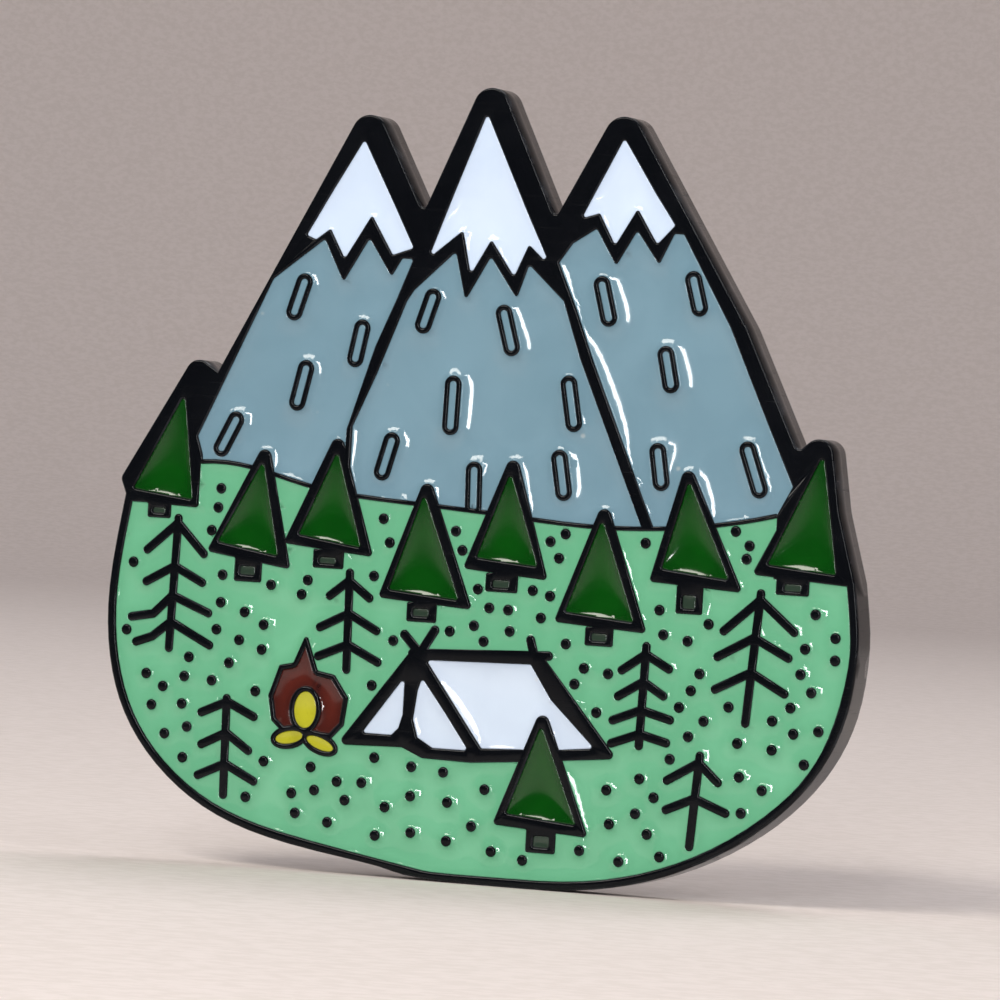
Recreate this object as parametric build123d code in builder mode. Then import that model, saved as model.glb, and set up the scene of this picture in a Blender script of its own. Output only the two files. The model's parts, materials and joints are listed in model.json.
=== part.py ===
# Soft enamel pin: a die-struck metal badge with poured enamel cells, a tie-tack post and a butterfly
# clutch.
#
# Frame: the badge stands upright as it is worn. Its face looks along -Y, +Z is up, and +X is to the right
# for someone who looks at the face. The origin is on the post's axis, on the flat back of the metal.
# The post and its clutch are on the +Y side. All sizes are in millimetres.

import os
from math import atan2, degrees, hypot

from build123d import *

os.makedirs("parts", exist_ok=True)

# ---------------------------------------------------------------- driving dimensions
# badge
badge_width = 25.0
badge_height = 25.0
metal_thickness = 1.4
pocket_depth = 0.45
enamel_drop = 0.12          # how far the enamel stays below the metal lines
rim_width = 0.28            # metal edge around the meadow
ground_line_width = 0.14    # metal line between mountains and meadow
twig_width = 0.28           # strokes of the bare fir trees
tent_line_width = 0.30
fire_line_width = 0.17
dot_radius = 0.17           # grass dots
streak_width = 0.56         # a rock streak, over its metal ring
streak_ring = 0.17          # metal ring of a rock streak
corner_radius = 0.07        # smallest rounding of a pocket's corner

# post
post_diameter = 1.16
post_length = 8.4
post_tip_diameter = 0.3
post_tip_length = 1.0
pad_diameter = 4.6
pad_thickness = 0.35
solder_width = 0.45
solder_share = 0.8          # how far up the pad's edge the solder climbs
solder_hollow = 1.2         # radius of the solder's hollow face, in solder widths
groove_depth = 0.17
groove_width = 0.54
groove_setback = 0.25       # from the clutch's front to the middle of the groove before it

# clutch
fabric_gap = 2.85           # from the post's pad to the clutch, at rest
clutch_diameter = 11.4
sheet = 0.35                # brass sheet of the clutch
clutch_rim_height = 1.55
post_hole_clearance = 0.3
spring_strip_width = 4.0
spring_leg_spread = 4.0     # between the middles of the two upright legs
spring_leg_height = 1.45
jaw_clearance = 0.06
ear_width = 6.4
ear_reach = 3.0             # from the bend out to the tip of an ear, along X
ear_rise = 3.1              # the same, along Y
ear_corner_radius = 1.4
flare_radius = 0.7          # where the strip widens into an ear
bend_clearance = 0.25       # from the top of a leg to the ear that bends on it
jaw_gap = 0.6               # between the two jaws, beside the post
window_clearance = 0.4      # round the spring, in the cap's window
cap_clearance = 0.05
cap_step = 0.4              # height of the cap's raised middle
cap_flange = 1.0            # flat ring round the raised middle
edge_radius = 0.1           # round the clutch's hole
step_rounding = 0.15        # where the cap's step turns

# ---------------------------------------------------------------- the drawing on the face
# Points of the drawing are (x, z) in its own units, which the badge's width and height stretch to size.
drawing_left = -12.8
drawing_right = 12.05
drawing_bottom = -11.95
drawing_top = 13.37
stretch_x = badge_width / (drawing_right - drawing_left)
stretch_z = badge_height / (drawing_top - drawing_bottom)

post_in_drawing = (-0.4, 1.6)

enamel_floor = metal_thickness - pocket_depth
enamel_thickness = pocket_depth - enamel_drop


def at(x, z):
    return (x * stretch_x, z * stretch_z)


def points(*pairs):
    return [at(x, z) for x, z in pairs]


def face_plane(height):
    # A plane across the badge, this far in front of its back, facing the viewer.
    x, z = at(*post_in_drawing)
    return Plane(origin=(-x, -height, -z), x_dir=(1, 0, 0), z_dir=(0, -1, 0))


cell_plane = face_plane(enamel_floor)


# The helpers below draw into the sketch that is open where they are called.
def rounded(pairs, radius=corner_radius, mode=Mode.ADD):
    # A closed outline of straight runs with its corners rounded: one radius, or one for each corner.
    with BuildLine() as outline:
        FilletPolyline(*points(*pairs), radius=radius, close=True)
    make_face(outline.edges(), mode=mode)


def stroke(start, end, width, mode=Mode.ADD):
    # A straight pen stroke with round ends.
    (x1, z1), (x2, z2) = at(*start), at(*end)
    turn = degrees(atan2(z2 - z1, x2 - x1))
    with Locations(((x1 + x2) / 2, (z1 + z2) / 2)):
        SlotCenterToCenter(hypot(x2 - x1, z2 - z1), width, rotation=turn, mode=mode)


def polystroke(pairs, width, mode=Mode.ADD):
    for start, end in zip(pairs, pairs[1:]):
        stroke(start, end, width, mode)


# ---------------------------------------------------------------- outline of the badge
with BuildSketch(face_plane(0)) as badge_outline:
    with BuildLine():
        left_side = Spline(
            *points(
                (-12.45, -0.2), (-12.8, -4.5), (-12.1, -7.2), (-10.35, -9.35), (-7.6, -10.78),
                (-3.2, -11.6), (1.6, -11.95),
            ),
            tangents=((-0.15, -1), (1, 0)),
        )
        right_side = Spline(
            *points(
                (1.6, -11.95), (5.3, -11.52), (8.2, -10.27), (10.75, -8.0), (11.85, -5.6), (12.05, -3.7),
                (11.83, -1.6),
            ),
            tangents=((1, 0), (-0.15, 1)),
        )
        right_tree = FilletPolyline(
            *points((11.83, -1.6), (11.2, 0.6), (10.75, 3.35), (9.75, 2.4), (7.9, 6.2)),
            radius=(2.0, 0.5, 0.15),
        )
        peaks = FilletPolyline(
            *points(
                (7.9, 6.2), (3.45, 13.35), (1.42, 9.35), (-0.95, 14.3), (-2.95, 9.35), (-4.93, 13.1),
                (-9.55, 3.9),
            ),
            radius=(0.65, 0.12, 0.6, 0.12, 0.6),
        )
        left_tree = FilletPolyline(
            *points((-9.55, 3.9), (-10.35, 4.45), (-12.65, 0.3), (-12.45, -0.2)),
            radius=(0.45, 0.25),
        )
    make_face()

# ---------------------------------------------------------------- foreground shapes
# Each fir: its black outline's tip, left and right corners, then its enamel's, then its trunk's
# outline (left, right, top, bottom) and its trunk's enamel (middle, width, height).
firs = {
    1: dict(
        outline=[(-10.35, 3.9), (-12.6, -0.42), (-9.93, -0.52)],
        cell=[(-10.63, 3.15), (-12.2, -0.02), (-10.16, -0.28)],
        trunk=(-11.67, -10.87, -0.4, -0.92), trunk_cell=(-11.27, -0.68, 0.42, 0.18),
    ),
    2: dict(
        outline=[(-7.72, 1.95), (-9.58, -1.9), (-6.7, -2.32)],
        cell=[(-7.83, 1.15), (-9.22, -1.57), (-7.15, -1.92)],
        trunk=(-8.6, -7.67, -2.0, -2.8), trunk_cell=(-8.15, -2.44, 0.5, 0.28),
    ),
    3: dict(
        outline=[(-5.33, 2.4), (-7.0, -1.48), (-3.95, -1.75)],
        cell=[(-5.35, 1.6), (-6.5, -1.17), (-4.38, -1.48)],
        trunk=(-5.97, -4.93, -1.6, -2.2), trunk_cell=(-5.47, -1.95, 0.55, 0.2),
    ),
    4: dict(
        outline=[(-2.3, 1.15), (-3.72, -3.02), (-0.55, -3.22)],
        cell=[(-2.37, 0.4), (-3.37, -2.74), (-1.02, -2.95)],
        trunk=(-2.73, -1.73, -3.1, -3.72), trunk_cell=(-2.25, -3.42, 0.52, 0.24),
    ),
    5: dict(
        outline=[(0.53, 2.1), (-0.95, -1.92), (1.88, -2.13)],
        cell=[(0.45, 1.25), (-0.52, -1.55), (1.52, -1.72)],
        trunk=(-0.17, 0.9, -2.0, -2.6), trunk_cell=(0.35, -2.34, 0.55, 0.24),
    ),
    6: dict(
        outline=[(3.6, 0.7), (2.15, -3.42), (5.22, -3.6)],
        cell=[(3.55, -0.05), (2.5, -3.08), (4.78, -3.28)],
        trunk=(3.2, 4.13, -3.5, -4.1), trunk_cell=(3.67, -3.82, 0.5, 0.24),
    ),
    7: dict(
        outline=[(6.2, 2.05), (5.18, -1.95), (8.25, -2.12)],
        cell=[(6.3, 1.35), (5.57, -1.52), (7.78, -1.75)],
        trunk=(6.1, 6.97, -2.0, -2.9), trunk_cell=(6.53, -2.52, 0.42, 0.42),
    ),
    8: dict(
        outline=[(10.75, 3.1), (8.5, -1.52), (11.75, -1.72)],
        cell=[(10.58, 2.4), (8.98, -1.18), (11.2, -1.38)],
        trunk=(9.3, 10.37, -1.5, -2.1), trunk_cell=(9.85, -1.86, 0.55, 0.22),
    ),
    9: dict(
        outline=[(1.97, -6.0), (0.52, -9.98), (3.7, -10.18)],
        cell=[(1.95, -6.7), (0.95, -9.6), (3.28, -9.82)],
        trunk=(1.66, 2.64, -10.0, -10.78), trunk_cell=(2.17, -10.42, 0.52, 0.36),
    ),
}
fir_tip_radius = 0.24
fir_corner_radius = 0.12
fir_cell_tip_radius = 0.08


def draw_fir(fir, mode=Mode.ADD):
    tip, left, right = fir["outline"]
    rounded([tip, left, right], (fir_tip_radius, fir_corner_radius, fir_corner_radius), mode)
    left_x, right_x, top, bottom = fir["trunk"]
    rounded([(left_x, top), (left_x, bottom), (right_x, bottom), (right_x, top)], corner_radius, mode)


# Bare fir trees: a trunk stroke and pairs of branches, each a run of points.
bare_firs = [
    [[(-10.6, -0.9), (-10.67, -5.1)],
     [(-11.6, -1.97), (-10.6, -1.05), (-9.67, -2.0)],
     [(-11.57, -3.0), (-10.63, -2.45), (-9.67, -2.93)],
     [(-12.0, -4.17), (-11.27, -4.03), (-10.65, -3.4), (-9.4, -3.9)],
     [(-11.8, -4.97), (-11.27, -4.77), (-10.65, -4.25), (-9.3, -4.93)]],
    [[(-4.7, -2.3), (-4.63, -5.4)],
     [(-5.33, -3.07), (-4.7, -2.55), (-4.0, -3.07)],
     [(-5.6, -4.1), (-4.65, -3.6), (-3.7, -4.1)],
     [(-5.6, -5.03), (-4.63, -4.6), (-3.6, -5.1)]],
    [[(-8.6, -6.6), (-8.53, -9.7)],
     [(-9.43, -7.1), (-8.57, -6.7), (-7.65, -7.13)],
     [(-9.37, -8.13), (-8.55, -7.7), (-7.77, -8.23)],
     [(-9.43, -9.13), (-8.53, -8.7), (-7.53, -9.2)]],
    [[(5.23, -4.0), (5.17, -7.15)],
     [(4.47, -4.8), (5.23, -4.25), (6.0, -4.67)],
     [(4.4, -5.63), (5.2, -5.12), (5.87, -5.53)],
     [(4.27, -6.4), (5.18, -6.02), (6.13, -6.27)],
     [(4.27, -7.13), (5.17, -6.78), (6.05, -7.0)]],
    [[(8.83, -2.1), (8.57, -6.2)],
     [(7.7, -3.35), (8.83, -2.3), (9.97, -3.25)],
     [(7.55, -4.17), (8.7, -3.5), (9.83, -4.07)],
     [(7.53, -5.2), (8.66, -4.6), (9.77, -5.2)]],
    [[(7.17, -7.33), (7.0, -10.2)],
     [(6.15, -8.17), (7.15, -7.55), (7.8, -8.13)],
     [(6.17, -9.1), (7.08, -8.68), (8.1, -9.07)]],
]

# Grass dots, scattered by hand.
dots = [
    (-9.21, 0.15), (-9.27, -0.47), (-9.45, -1.22), (-8.99, -2.63), (-7.33, -2.85), (-6.28, -3.09),
    (-6.1, -2.62), (-9.0, -3.52), (-8.17, -3.78), (-12.05, -2.4), (-9.09, -4.4), (-7.5, -4.15),
    (-8.3, -4.69), (-7.52, -4.95), (-12.15, -4.6), (-9.97, -5.35), (-8.6, -5.45), (-11.39, -5.97),
    (-10.8, -6.35), (-10.09, -5.98), (-9.15, -6.05), (-7.65, -6.3), (-11.15, -6.97), (-10.12, -6.87),
    (-10.65, -7.87), (-9.9, -7.6), (-9.99, -8.6), (-7.23, -8.53), (-5.63, -8.6), (-7.77, -9.72),
    (-6.23, -9.48), (-5.47, -9.33), (-4.73, -9.0), (-4.43, -9.58), (-6.07, -10.11), (-4.97, -10.33),
    (-3.9, -8.98), (-3.68, -0.5), (-3.43, -1.25), (-3.89, -2.35), (-1.25, -0.75), (-1.0, -1.35),
    (-0.41, -2.55), (1.89, -0.89), (2.37, -0.62), (2.2, -1.4), (1.4, -2.48), (1.98, -2.62),
    (0.0, -3.12), (0.63, -3.15), (1.72, -3.33), (-0.47, -3.72), (0.72, -3.82), (-1.26, -3.95),
    (-0.12, -4.2), (-3.12, -4.37), (2.59, -4.1), (3.23, -4.83), (4.03, -4.95), (2.95, -5.35),
    (-3.75, -5.85), (3.72, -6.2), (-3.52, -8.15), (-2.27, -8.35), (-1.2, -8.45), (0.2, -8.9),
    (-2.25, -9.29), (-1.01, -9.4), (-3.08, -9.7), (-0.17, -10.1), (-3.35, -10.63), (-2.17, -10.45),
    (-0.97, -10.63), (0.53, -10.85), (1.58, -11.05), (3.43, -10.6), (5.0, -0.75), (8.37, -0.63),
    (7.9, -0.2), (8.3, -1.05), (5.58, -2.83), (7.2, -3.17), (10.62, -2.65), (5.75, -3.6),
    (6.55, -3.75), (10.35, -3.75), (11.3, -3.35), (11.33, -4.05), (10.25, -4.55), (7.0, -4.75),
    (6.75, -5.3), (6.4, -5.85), (7.22, -6.23), (8.0, -5.73), (6.75, -6.75), (8.35, -6.85),
    (9.43, -6.07), (9.99, -5.62), (10.63, -5.1), (10.93, -6.3), (10.13, -6.43), (9.47, -6.98),
    (10.53, -7.37), (6.2, -7.5), (8.47, -7.9), (9.23, -8.27), (5.25, -8.19), (5.75, -8.75),
    (4.2, -8.62), (8.6, -9.03), (5.18, -9.3), (4.35, -9.69), (5.6, -9.92), (6.05, -10.6),
    (4.73, -10.85),
]

# Tent: its body's outline, its poles and seams.
tent_body = [
    (-2.4, -4.75), (1.75, -4.62), (4.2, -7.5), (1.2, -7.8), (-0.33, -7.93), (-1.9, -7.9), (-2.6, -7.6),
    (-4.5, -7.65),
]
tent_lines = [
    [(-2.75, -4.15), (-2.2, -4.72), (-1.75, -3.95)],
    [(1.43, -4.05), (1.6, -4.6)],
    [(-2.45, -4.73), (2.05, -4.52)],
]
tent_left_flap = [(-2.66, -5.5), (-3.98, -7.38), (-3.0, -7.38), (-2.78, -7.15), (-2.66, -6.7)]
tent_right_flap = [
    (-2.08, -5.5), (-2.2, -5.9), (-2.3, -6.83), (-2.12, -7.4), (-1.6, -7.7), (-0.42, -7.7), (-1.3, -6.5),
]
tent_roof = [(-1.97, -4.92), (1.48, -4.83), (2.2, -5.9), (3.72, -7.34), (2.2, -7.5), (0.02, -7.6)]

# Fire: the flame's outline, the flame inside it and two logs (middle, half length, half width, turn).
flame = [(-6.03, -4.3), (-6.42, -5.3), (-6.88, -5.4), (-7.2, -6.4), (-7.05, -7.2), (-6.6, -7.6),
         (-5.0, -7.65), (-4.6, -7.2), (-4.5, -6.3), (-5.0, -5.6), (-5.58, -5.5)]
inner_flame = (-5.93, -6.78)
inner_flame_half = (0.37, 0.58)
logs = {"left": ((-6.42, -7.7), 0.46, 0.2, 12), "right": ((-5.37, -7.83), 0.48, 0.18, -20)}


def draw_log(log, border, mode=Mode.ADD):
    middle, half_length, half_width, turn = log
    with Locations(at(*middle)):
        Ellipse(half_length + border, half_width + border, rotation=turn, mode=mode)


def draw_inner_flame(border, mode=Mode.ADD):
    with Locations(at(*inner_flame)):
        Ellipse(inner_flame_half[0] + border, inner_flame_half[1] + border, mode=mode)


# ---------------------------------------------------------------- cells of the face
# Mountains: the snow caps and the rock below them. The rock runs on under the meadow's edge and the firs,
# which are cut from it.
snow_outlines = {
    "left": [
        (-5.07, 11.6), (-5.97, 10.0), (-6.82, 8.45), (-6.5, 8.33), (-6.03, 8.7), (-5.5, 7.75),
        (-4.67, 9.2), (-3.9, 7.95), (-3.22, 8.2), (-3.9, 9.47),
    ],
    "center": [
        (-1.03, 12.6), (-1.97, 10.0), (-2.7, 7.9), (-1.6, 8.85), (-1.27, 7.45), (-0.65, 8.6),
        (0.17, 7.45), (0.6, 8.5), (1.35, 7.82), (0.5, 9.47),
    ],
    "right": [
        (3.53, 12.0), (2.28, 9.4), (2.87, 9.6), (3.43, 8.6), (4.1, 9.8), (4.8, 8.7), (5.35, 9.32),
        (4.67, 10.27),
    ],
}
rock_outlines = {
    "left": [
        (-7.85, 7.0), (-6.2, 8.35), (-5.5, 7.0), (-4.7, 8.45), (-3.9, 7.25), (-3.57, 7.85), (-3.2, 7.85),
        (-3.7, 6.5), (-4.3, 5.0), (-5.1, 2.3), (-5.1, -1.0), (-9.85, -1.0), (-9.9, 1.2), (-10.1, 1.8),
    ],
    "center": [
        (-3.33, 6.5), (-3.1, 6.87), (-1.8, 8.15), (-1.4, 6.6), (-0.63, 8.05), (0.3, 6.75), (0.65, 7.85),
        (1.85, 6.75), (2.5, 4.95), (4.85, -0.3), (4.85, -1.0), (-4.9, -1.0), (-4.9, 2.4), (-4.2, 4.1),
    ],
    "right": [
        (1.63, 7.97), (2.05, 8.6), (2.8, 9.1), (3.5, 7.95), (4.13, 9.1), (4.9, 8.05), (5.35, 9.05),
        (5.65, 9.05), (7.33, 6.2), (8.5, 3.7), (9.65, 1.3), (9.1, 0.2), (9.1, -1.0), (5.25, -1.0),
        (5.25, -0.3), (2.95, 4.9), (2.3, 6.5),
    ],
}
# Rock streaks, from end to end over their metal rings.
streaks = [
    [(-6.73, 7.2), (-7.17, 5.7)], [(-4.73, 5.83), (-5.0, 4.3)], [(-6.53, 4.43), (-6.87, 2.8)],
    [(-8.73, 2.63), (-9.4, 1.2)], [(-2.4, 6.93), (-2.83, 5.5)], [(-0.17, 6.53), (0.3, 4.93)],
    [(-1.63, 4.2), (-1.65, 2.3)], [(2.13, 4.4), (2.47, 2.63)], [(-3.5, 2.27), (-3.9, 0.73)],
    [(-0.78, 1.5), (-0.72, -0.2)], [(1.97, 2.03), (2.27, 0.43)], [(3.0, 7.6), (3.43, 6.03)],
    [(5.97, 7.9), (6.37, 6.5)], [(5.23, 5.5), (5.57, 4.03)], [(5.17, 2.43), (5.43, 0.93)],
    [(8.03, 2.63), (8.67, 0.9)],
]
ground_line = [
    (-9.95, 0.97), (-8.27, 0.9), (-6.3, 0.42), (-3.6, 0.1), (-0.3, -0.1), (3.0, -0.33), (5.4, -0.27),
    (9.2, 0.37),
]
ground_left = [(-9.95, -0.45), (-14.0, -0.45), (-14.0, -13.0)]
ground_right = [(13.0, -13.0), (13.0, -1.62), (9.2, -1.62)]


def draw_ground_line(mode=Mode.ADD):
    with BuildLine() as line:
        Spline(*points(*ground_line))
    trace(line.edges(), ground_line_width, mode=mode)


def draw_streak(ends, width, mode=Mode.ADD):
    # A streak of this width whose ends stay as far inside the metal ring as its sides do.
    (x1, z1), (x2, z2) = ends
    share = streak_width / 2 / hypot(x2 - x1, z2 - z1)
    start = (x1 + (x2 - x1) * share, z1 + (z2 - z1) * share)
    end = (x2 - (x2 - x1) * share, z2 - (z2 - z1) * share)
    stroke(start, end, width, mode)


# Everything below the line between the mountains and the meadow.
with BuildSketch(cell_plane) as ground:
    with BuildLine():
        Spline(*points(*ground_line))
        Polyline(*points(ground_line[0], *ground_left, *ground_right, ground_line[-1]))
    make_face()

with BuildSketch(cell_plane) as fir_outlines:
    for fir in firs.values():
        draw_fir(fir)

# Every cell's sketch by its node's name.
cells = {}

for side, outline in snow_outlines.items():
    with BuildSketch(cell_plane) as snow:
        rounded(outline)
    cells[f"snow_{side}"] = snow.sketch

for side, outline in rock_outlines.items():
    with BuildSketch(cell_plane) as rock:
        rounded(outline)
        add(ground, mode=Mode.SUBTRACT)
        draw_ground_line(Mode.SUBTRACT)
        add(fir_outlines, mode=Mode.SUBTRACT)
        for ends in streaks:
            draw_streak(ends, streak_width, Mode.SUBTRACT)
    cells[f"rock_{side}"] = rock.sketch

with BuildSketch(cell_plane) as streak_cells:
    for ends in streaks:
        draw_streak(ends, streak_width - 2 * streak_ring)
    add(ground, mode=Mode.SUBTRACT)
    draw_ground_line(Mode.SUBTRACT)
cells["rock_streaks"] = streak_cells.sketch

with BuildSketch(cell_plane) as meadow_lines:
    for tree in bare_firs:
        for branch in tree:
            polystroke(branch, twig_width)
    for dot in dots:
        with Locations(at(*dot)):
            Circle(dot_radius)
    rounded(tent_body)
    polystroke(tent_body + tent_body[:1], tent_line_width)
    for line in tent_lines:
        polystroke(line, tent_line_width)
    rounded(flame, fire_line_width / 2)
    for log in logs.values():
        draw_log(log, fire_line_width)


def inset(curve, distance, stations=7):
    # A smooth curve that runs beside this one, to its left, at this distance.
    steps = [i / (stations - 1) for i in range(stations)]
    path = [curve @ step + (curve % step).rotate(Axis.Z, 90) * distance for step in steps]
    return Spline(*path, tangents=(curve % 0, curve % 1))


with BuildSketch(cell_plane) as meadow_cells:
    with BuildLine():
        left_inset = inset(left_side, rim_width)
        right_inset = inset(right_side, rim_width)
        Polyline(right_inset @ 1, *points((11.0, 3.0), (-12.0, 3.0)), left_inset @ 0)
    make_face()
    add(ground, mode=Mode.INTERSECT)
    draw_ground_line(Mode.SUBTRACT)
    add(fir_outlines, mode=Mode.SUBTRACT)
    add(meadow_lines, mode=Mode.SUBTRACT)
meadow_faces = meadow_cells.sketch.faces().sort_by(SortBy.AREA, reverse=True)
# The firs' lines close off a small patch from the rest of the meadow.
cells["meadow"] = meadow_faces[:1]
cells["meadow_patch"] = meadow_faces[1:]

for number, fir in firs.items():
    with BuildSketch(cell_plane) as fir_cell:
        rounded(fir["cell"], (fir_cell_tip_radius, corner_radius, corner_radius))
    cells[f"fir_{number}"] = fir_cell.sketch
    x, z, width, height = fir["trunk_cell"]
    with BuildSketch(cell_plane) as trunk_cell:
        with Locations(at(x, z)):
            RectangleRounded(width, height, corner_radius)
    cells[f"trunk_{number}"] = trunk_cell.sketch

with BuildSketch(cell_plane) as left_flap:
    rounded(tent_left_flap)
with BuildSketch(cell_plane) as right_flap:
    rounded(tent_right_flap)
with BuildSketch(cell_plane) as roof:
    rounded(tent_roof)
    draw_fir(firs[9], Mode.SUBTRACT)
cells["tent_flap_left"] = left_flap.sketch
cells["tent_flap_right"] = right_flap.sketch
cells["tent_roof"] = roof.sketch

with BuildSketch(cell_plane) as flame_cell:
    rounded(flame, fire_line_width / 2)
    offset(amount=-fire_line_width)
    draw_inner_flame(fire_line_width, Mode.SUBTRACT)
    for log in logs.values():
        draw_log(log, fire_line_width, Mode.SUBTRACT)
with BuildSketch(cell_plane) as inner_flame_cell:
    draw_inner_flame(0)
    for log in logs.values():
        draw_log(log, fire_line_width, Mode.SUBTRACT)
cells["flame_outer"] = flame_cell.sketch
cells["flame_inner"] = inner_flame_cell.sketch
for side, log in logs.items():
    with BuildSketch(cell_plane) as log_cell:
        draw_log(log, 0)
    cells[f"log_{side}"] = log_cell.sketch

# ---------------------------------------------------------------- badge
with BuildPart() as badge_plate:
    extrude(badge_outline.sketch, amount=metal_thickness)
    for cell in cells.values():
        extrude(cell, amount=pocket_depth, mode=Mode.SUBTRACT)
badge_plate.part.label = "badge_plate"
export_step(badge_plate.part, "parts/badge_plate.step")

for name, cell in cells.items():
    with BuildPart() as enamel:
        extrude(cell, amount=enamel_thickness)
    enamel.part.label = name
    export_step(enamel.part, f"parts/{name}.step")

# ---------------------------------------------------------------- post
post_radius = post_diameter / 2
pad_radius = pad_diameter / 2
clutch_front = pad_thickness + fabric_gap
seat_height = clutch_front + 2 * sheet          # back of the spring's seat, which lies on the clutch's base
bend_height = seat_height + spring_leg_height   # the line that an ear bends about
jaw_height = (seat_height + bend_height) / 2
groove_pitch = jaw_height - clutch_front + groove_setback
solder_top = solder_share * pad_thickness

# Profiles of the round pieces: x is the radius and y runs along the post's axis.
with BuildPart() as post:
    with BuildSketch():
        with BuildLine():
            Polyline(
                (0, 0), (pad_radius, 0), (pad_radius, pad_thickness), (post_radius, pad_thickness),
                (post_radius, post_length - post_tip_length),
                (post_tip_diameter / 2, post_length), (0, post_length),
                close=True,
            )
        make_face()
        # Three ring grooves: the jaws rest at the middle one.
        with Locations(*[(post_radius, jaw_height + step * groove_pitch) for step in (-1, 0, 1)]):
            Rectangle(2 * groove_depth, groove_width, mode=Mode.SUBTRACT)
    revolve(axis=Axis.Y)
post.part.label = "post"
export_step(post.part, "parts/post.step")

with BuildPart() as solder_ring:
    with BuildSketch():
        with BuildLine():
            Line((pad_radius, 0), (pad_radius + solder_width, 0))
            RadiusArc(
                (pad_radius + solder_width, 0), (pad_radius, solder_top), -solder_hollow * solder_width,
            )
            Line((pad_radius, solder_top), (pad_radius, 0))
        make_face()
    revolve(axis=Axis.Y)
solder_ring.part.label = "solder_ring"
export_step(solder_ring.part, "parts/solder_ring.step")

# ---------------------------------------------------------------- clutch
clutch_radius = clutch_diameter / 2
post_hole_radius = post_radius + post_hole_clearance
base_back = clutch_front + sheet
clutch_back = clutch_front + clutch_rim_height
lip_reach = 2.3 * sheet
cap_radius = clutch_radius - sheet - cap_clearance
cap_front = clutch_back - 2 * sheet
step_radius = cap_radius - cap_flange - cap_step
leg_top = bend_height - sheet / 2 - bend_clearance
window_length = spring_leg_spread + 2 * sheet + 2 * window_clearance
window_width = spring_strip_width + 2 * window_clearance


def ring(corners, radii):
    # A solid of revolution about the post's axis, from a closed profile of (radius, y) corners.
    with BuildSketch() as profile:
        with BuildLine():
            FilletPolyline(*corners, radius=radii, close=True)
        make_face()
    revolve(profile.sketch, axis=Axis.Y)


# A disc with a rim that is rolled in over the cap.
with BuildPart() as clutch_base:
    ring(
        [(post_hole_radius, clutch_front), (clutch_radius, clutch_front), (clutch_radius, clutch_back),
         (clutch_radius - lip_reach, clutch_back), (clutch_radius - lip_reach, clutch_back - sheet),
         (clutch_radius - sheet, clutch_back - sheet), (clutch_radius - sheet, base_back),
         (post_hole_radius, base_back)],
        (edge_radius, 2 * sheet, sheet, sheet / 3, 0, 0, sheet, edge_radius),
    )
clutch_base.part.label = "clutch_base"
export_step(clutch_base.part, "parts/clutch_base.step")

# The cap: a disc with a raised middle, and a window for the spring.
with BuildPart() as clutch_cap:
    ring(
        [(0, cap_front + cap_step), (step_radius, cap_front + cap_step),
         (step_radius + cap_step, cap_front), (cap_radius, cap_front),
         (cap_radius, cap_front + sheet), (step_radius + cap_step, cap_front + sheet),
         (step_radius, cap_front + cap_step + sheet), (0, cap_front + cap_step + sheet)],
        (0, step_rounding, step_rounding, 0, 0, step_rounding, step_rounding, 0),
    )
    with BuildSketch(Plane.XZ.offset(-cap_front)):
        RectangleRounded(window_length, window_width, 2 * sheet)
    extrude(amount=2 * (cap_step + sheet), both=True, mode=Mode.SUBTRACT)
clutch_cap.part.label = "clutch_cap"
export_step(clutch_cap.part, "parts/clutch_cap.step")

# The spring strip: a flat seat with a hole for the post, and a leg turned up at each end.
with BuildPart() as spring_seat:
    with BuildSketch():
        with BuildLine() as strip:
            FilletPolyline(
                (-spring_leg_spread / 2, leg_top), (-spring_leg_spread / 2, base_back + sheet / 2),
                (spring_leg_spread / 2, base_back + sheet / 2), (spring_leg_spread / 2, leg_top),
                radius=sheet,
            )
        trace(line_width=sheet)
    extrude(amount=spring_strip_width / 2, both=True)
    with BuildSketch(Plane.XZ.offset(-base_back)):
        Circle(post_hole_radius)
    extrude(amount=2 * sheet, both=True, mode=Mode.SUBTRACT)
spring_seat.part.label = "spring_seat"
export_step(spring_seat.part, "parts/spring_seat.step")

# An ear: its jaw reaches in to the post, the strip turns at the bend line, and the ear flares out behind.
bend_x = spring_leg_spread / 2
jaw_tip = jaw_gap / 2
ear_tip = (bend_x + ear_reach, bend_height + ear_rise)
with BuildPart() as wing_right:
    with BuildSketch():
        with BuildLine():
            FilletPolyline(
                (jaw_tip, jaw_height), (bend_x, bend_height),
                (bend_x + 0.3 * ear_reach, bend_height + 0.5 * ear_rise),
                (ear_tip[0] - 0.25 * ear_reach, ear_tip[1] - 0.1 * ear_rise), ear_tip,
                radius=(1.6 * sheet, 3 * sheet, 3 * sheet),
            )
        trace(line_width=sheet)
    extrude(amount=ear_width / 2, both=True)
    # Seen along the post: a strip that flares into the ear.
    with BuildSketch(Plane.XZ.offset(-jaw_height)):
        with BuildLine():
            FilletPolyline(
                (0, -spring_strip_width / 2), (bend_x + 0.15 * ear_reach, -spring_strip_width / 2),
                (bend_x + 0.5 * ear_reach, -ear_width / 2), (ear_tip[0] + sheet, -ear_width / 2),
                (ear_tip[0] + sheet, ear_width / 2), (bend_x + 0.5 * ear_reach, ear_width / 2),
                (bend_x + 0.15 * ear_reach, spring_strip_width / 2), (0, spring_strip_width / 2),
                radius=(0, flare_radius, flare_radius, ear_corner_radius,
                        ear_corner_radius, flare_radius, flare_radius, 0),
                close=True,
            )
        make_face()
    extrude(amount=2 * (ear_rise + spring_leg_height), both=True, mode=Mode.INTERSECT)
    with BuildSketch(Plane.XZ.offset(-jaw_height)):
        Circle(post_radius + jaw_clearance)
    extrude(amount=2 * spring_leg_height, both=True, mode=Mode.SUBTRACT)
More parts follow.
